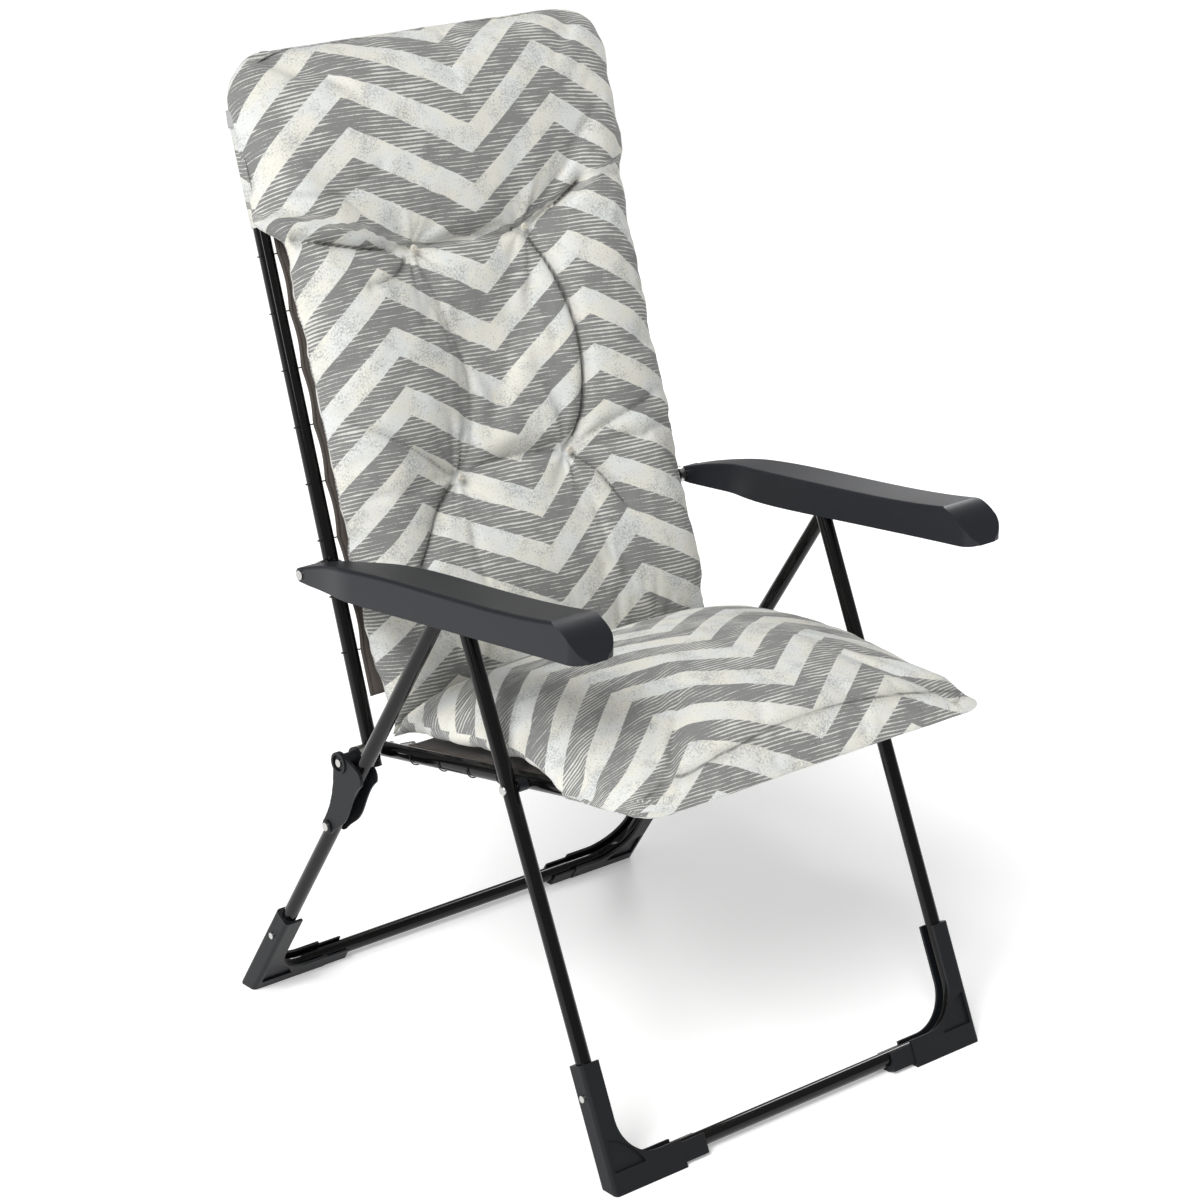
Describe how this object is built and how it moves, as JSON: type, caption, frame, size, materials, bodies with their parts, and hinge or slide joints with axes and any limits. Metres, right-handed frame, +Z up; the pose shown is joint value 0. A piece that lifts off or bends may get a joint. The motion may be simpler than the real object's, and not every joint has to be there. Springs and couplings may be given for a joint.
{
  "type": "folding garden armchair",
  "caption": "Folding high-back garden armchair with a reclining back, notched plastic armrests, bent-tube legs and a quilted chevron pad.",
  "frame": {"origin": "centre of the chair's footprint box, on the floor", "axes": "+X to the chair's side, across its width; the chair faces -Y; +Z up"},
  "size_m": [0.632, 0.7424, 1.1368],
  "materials": {
    "black_tube": "gloss black powder coat",
    "grey_plastic": "satin anthracite moulded plastic",
    "zinc_steel": "bright zinc plate",
    "sling_fabric": "taupe woven sling",
    "pad_fabric": "printed cotton, grey and cream chevron",
    "label": "bare woven label"
  },
  "bodies": {
    "front_legs": {"front_leg_frame": "black_tube", "front_foot_left": "grey_plastic", "front_foot_right": "grey_plastic", "front_foot_screws": "zinc_steel", "leg_top_pins": "zinc_steel", "leg_top_washers": "zinc_steel", "seat_rivets": "zinc_steel", "seat_spacers": "grey_plastic"},
    "rear_legs": {"rear_leg_frame": "black_tube", "rear_foot_left": "grey_plastic", "rear_foot_right": "grey_plastic", "rear_foot_screws": "zinc_steel"},
    "seat": {"seat_frame": "black_tube", "seat_end_plugs": "grey_plastic", "seat_sling": "sling_fabric", "seat_hooks": "zinc_steel", "corner_springs": "zinc_steel", "seat_pad": "pad_fabric", "pad_front_pocket": "pad_fabric", "back_pivot_pins": "zinc_steel"},
    "back_hinge": {"back_hinge_bushes": "zinc_steel"},
    "back": {"back_frame": "black_tube", "back_end_plugs": "grey_plastic", "back_sling": "sling_fabric", "back_hooks": "zinc_steel", "back_pad": "pad_fabric", "pad_hood": "pad_fabric", "pad_label": "label", "arm_pivot_pins": "zinc_steel"},
    "arm_hinge": {"armrest_bushes": "zinc_steel"},
    "armrest_left_body": {"armrest_left": "grey_plastic", "armrest_rack_left": "grey_plastic"},
    "armrest_right_body": {"armrest_right": "grey_plastic", "armrest_rack_right": "grey_plastic"},
    "link_left": {"link_inner_plate_left": "grey_plastic", "link_outer_plate_left": "grey_plastic", "link_spacer_left": "grey_plastic", "link_rivets_left": "zinc_steel"},
    "link_right": {"link_inner_plate_right": "grey_plastic", "link_outer_plate_right": "grey_plastic", "link_spacer_right": "grey_plastic", "link_rivets_right": "zinc_steel"}
  },
  "joints": [
    {"name": "fold", "type": "hinge", "parent": "front_legs", "child": "seat", "pos_m": [0, -0.16268, 0.413], "axis": [-1, 0, 0], "range_deg": [0, 90], "deforming": ["seat_pad", "back_pad"]},
    {"name": "rear_legs_fold", "type": "hinge", "parent": "front_legs", "child": "rear_legs", "pos_m": [0, -0.07737, 0.6038], "axis": [-1, 0, 0], "range_deg": [0, 54]},
    {"name": "back_fold", "type": "hinge", "parent": "seat", "child": "back_hinge", "pos_m": [0, 0.10566, 0.364], "axis": [1, 0, 0], "range_deg": [0, 82.5]},
    {"name": "recline", "type": "hinge", "parent": "back_hinge", "child": "back", "pos_m": [0, 0.10566, 0.364], "axis": [-1, 0, 0], "range_deg": [0, 40]},
    {"name": "arm_fold", "type": "hinge", "parent": "back", "child": "arm_hinge", "pos_m": [0, 0.17436, 0.57247], "axis": [-1, 0, 0], "range_deg": [0, 89.5]},
    {"name": "armrest_left_tilt", "type": "hinge", "parent": "arm_hinge", "child": "armrest_left_body", "pos_m": [0, 0.17436, 0.57247], "axis": [1, 0, 0], "range_deg": [0, 29]},
    {"name": "link_left_fold", "type": "hinge", "parent": "rear_legs", "child": "link_left", "pos_m": [0, 0.1337, 0.27502], "axis": [-1, 0, 0], "range_deg": [0, 143.5]},
    {"name": "armrest_right_tilt", "type": "hinge", "parent": "arm_hinge", "child": "armrest_right_body", "pos_m": [0, 0.17436, 0.57247], "axis": [1, 0, 0], "range_deg": [0, 29]},
    {"name": "link_right_fold", "type": "hinge", "parent": "rear_legs", "child": "link_right", "pos_m": [0, 0.1337, 0.27502], "axis": [-1, 0, 0], "range_deg": [0, 143.5]}
  ],
  "couplings": [
    {"joint": "rear_legs_fold", "follows": "fold", "ratio": 0.59178},
    {"joint": "link_left_fold", "follows": "fold", "ratio": 1.583},
    {"joint": "link_right_fold", "follows": "fold", "ratio": 1.583},
    {"joint": "back_fold", "follows": "fold", "ratio": 0.91},
    {"joint": "arm_fold", "follows": "fold", "ratio": 0.99},
    {"joint": "armrest_left_tilt", "follows": "recline", "ratio": 0.713},
    {"joint": "armrest_right_tilt", "follows": "recline", "ratio": 0.713}
  ]
}
